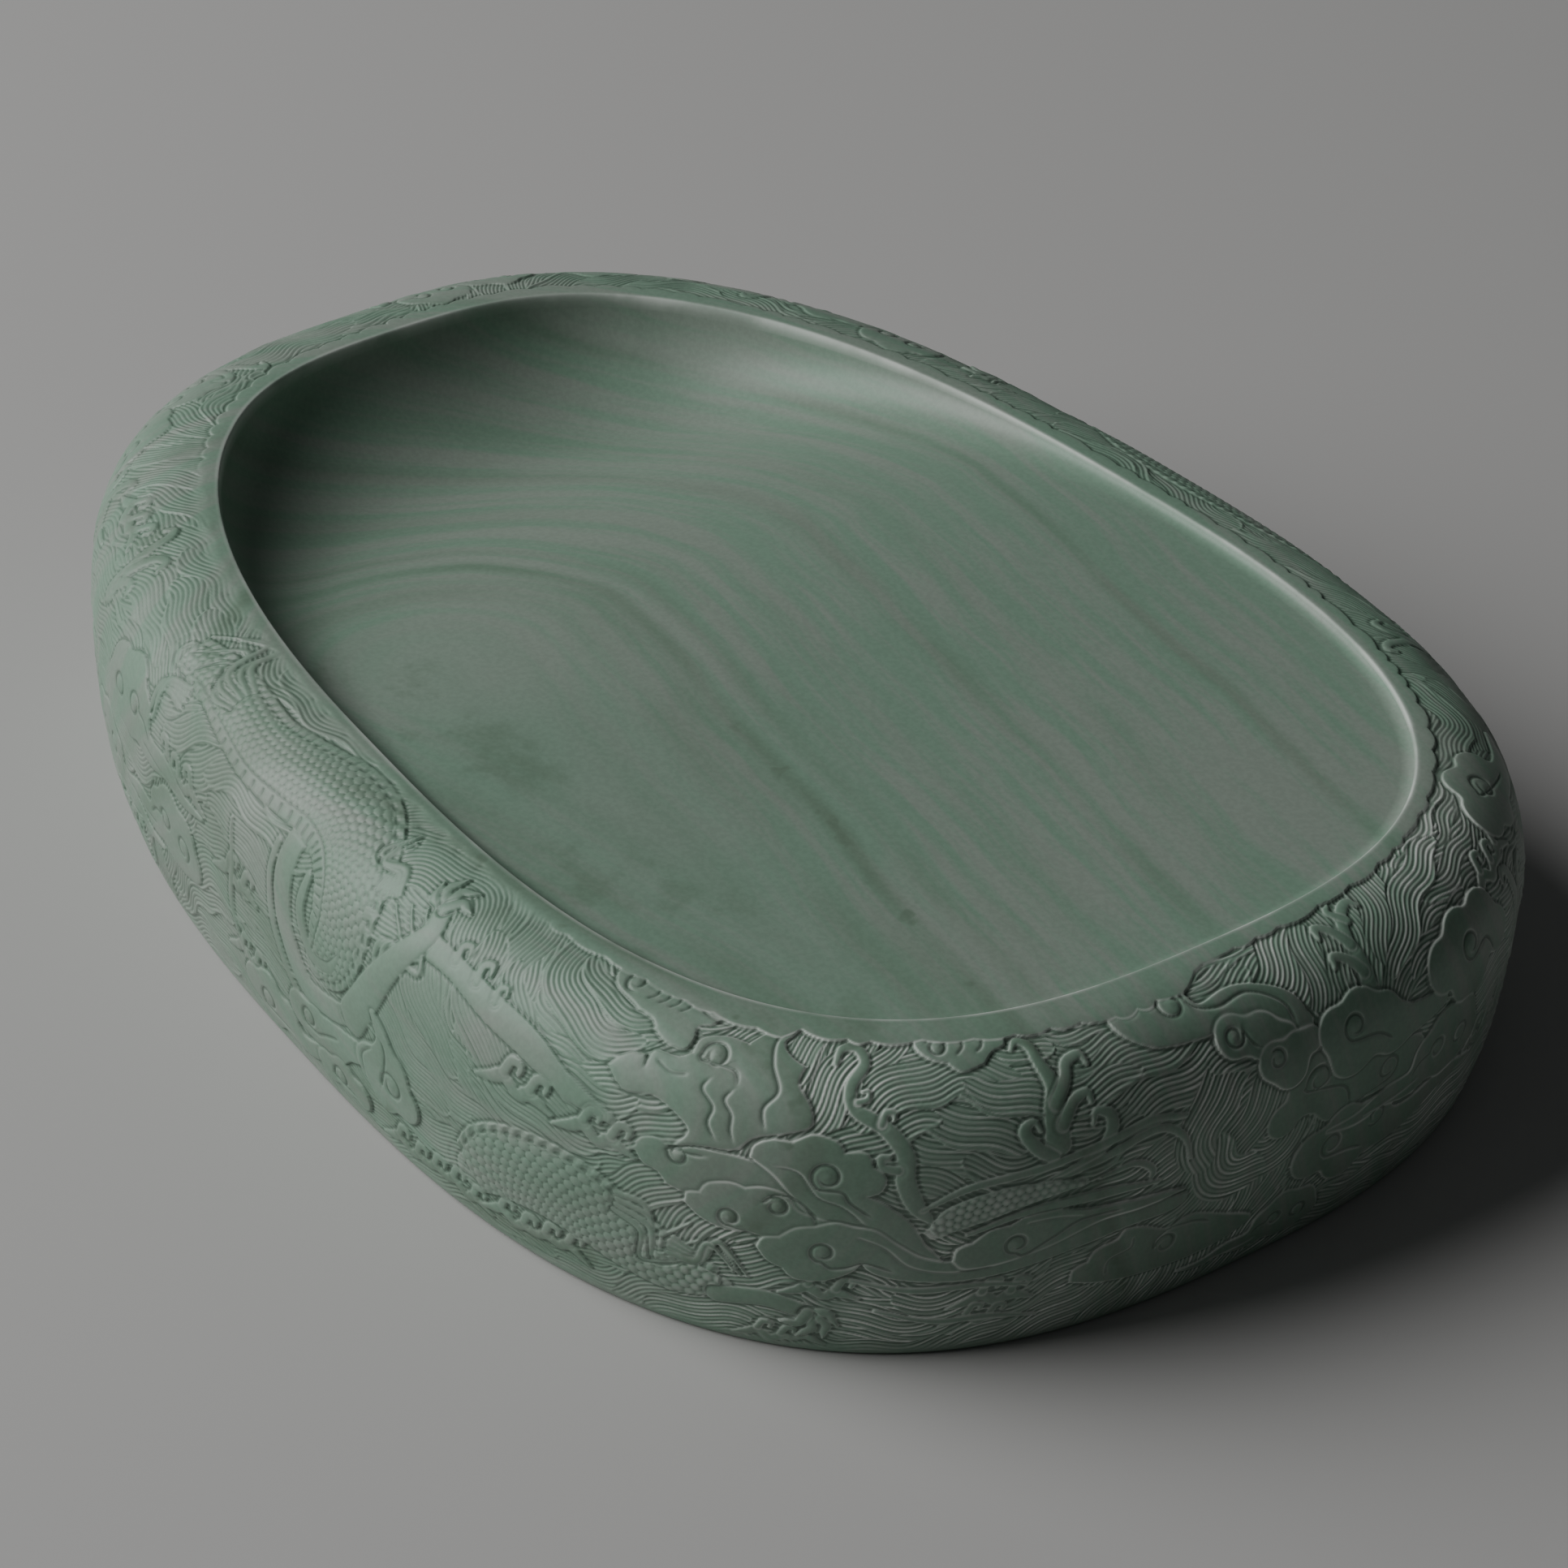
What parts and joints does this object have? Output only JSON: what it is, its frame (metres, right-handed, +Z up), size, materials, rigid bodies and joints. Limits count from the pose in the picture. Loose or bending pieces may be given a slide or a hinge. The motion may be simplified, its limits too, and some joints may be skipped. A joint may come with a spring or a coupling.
{
  "type": "inkstone",
  "caption": "Heavy carved stone slab with a plain lip around one basin that sinks from a near-level grinding floor into an ink pool.",
  "frame": {"origin": "centre of the flat base, on the surface the stone rests on", "axes": "+X along the length towards the broad, shallow end; -X is the ink pool; +Z up out of the basin"},
  "size_m": [0.2, 0.149, 0.04],
  "materials": {
    "stone": "matte honed"
  },
  "bodies": {
    "root": {"inkstone": "stone"}
  },
  "joints": []
}
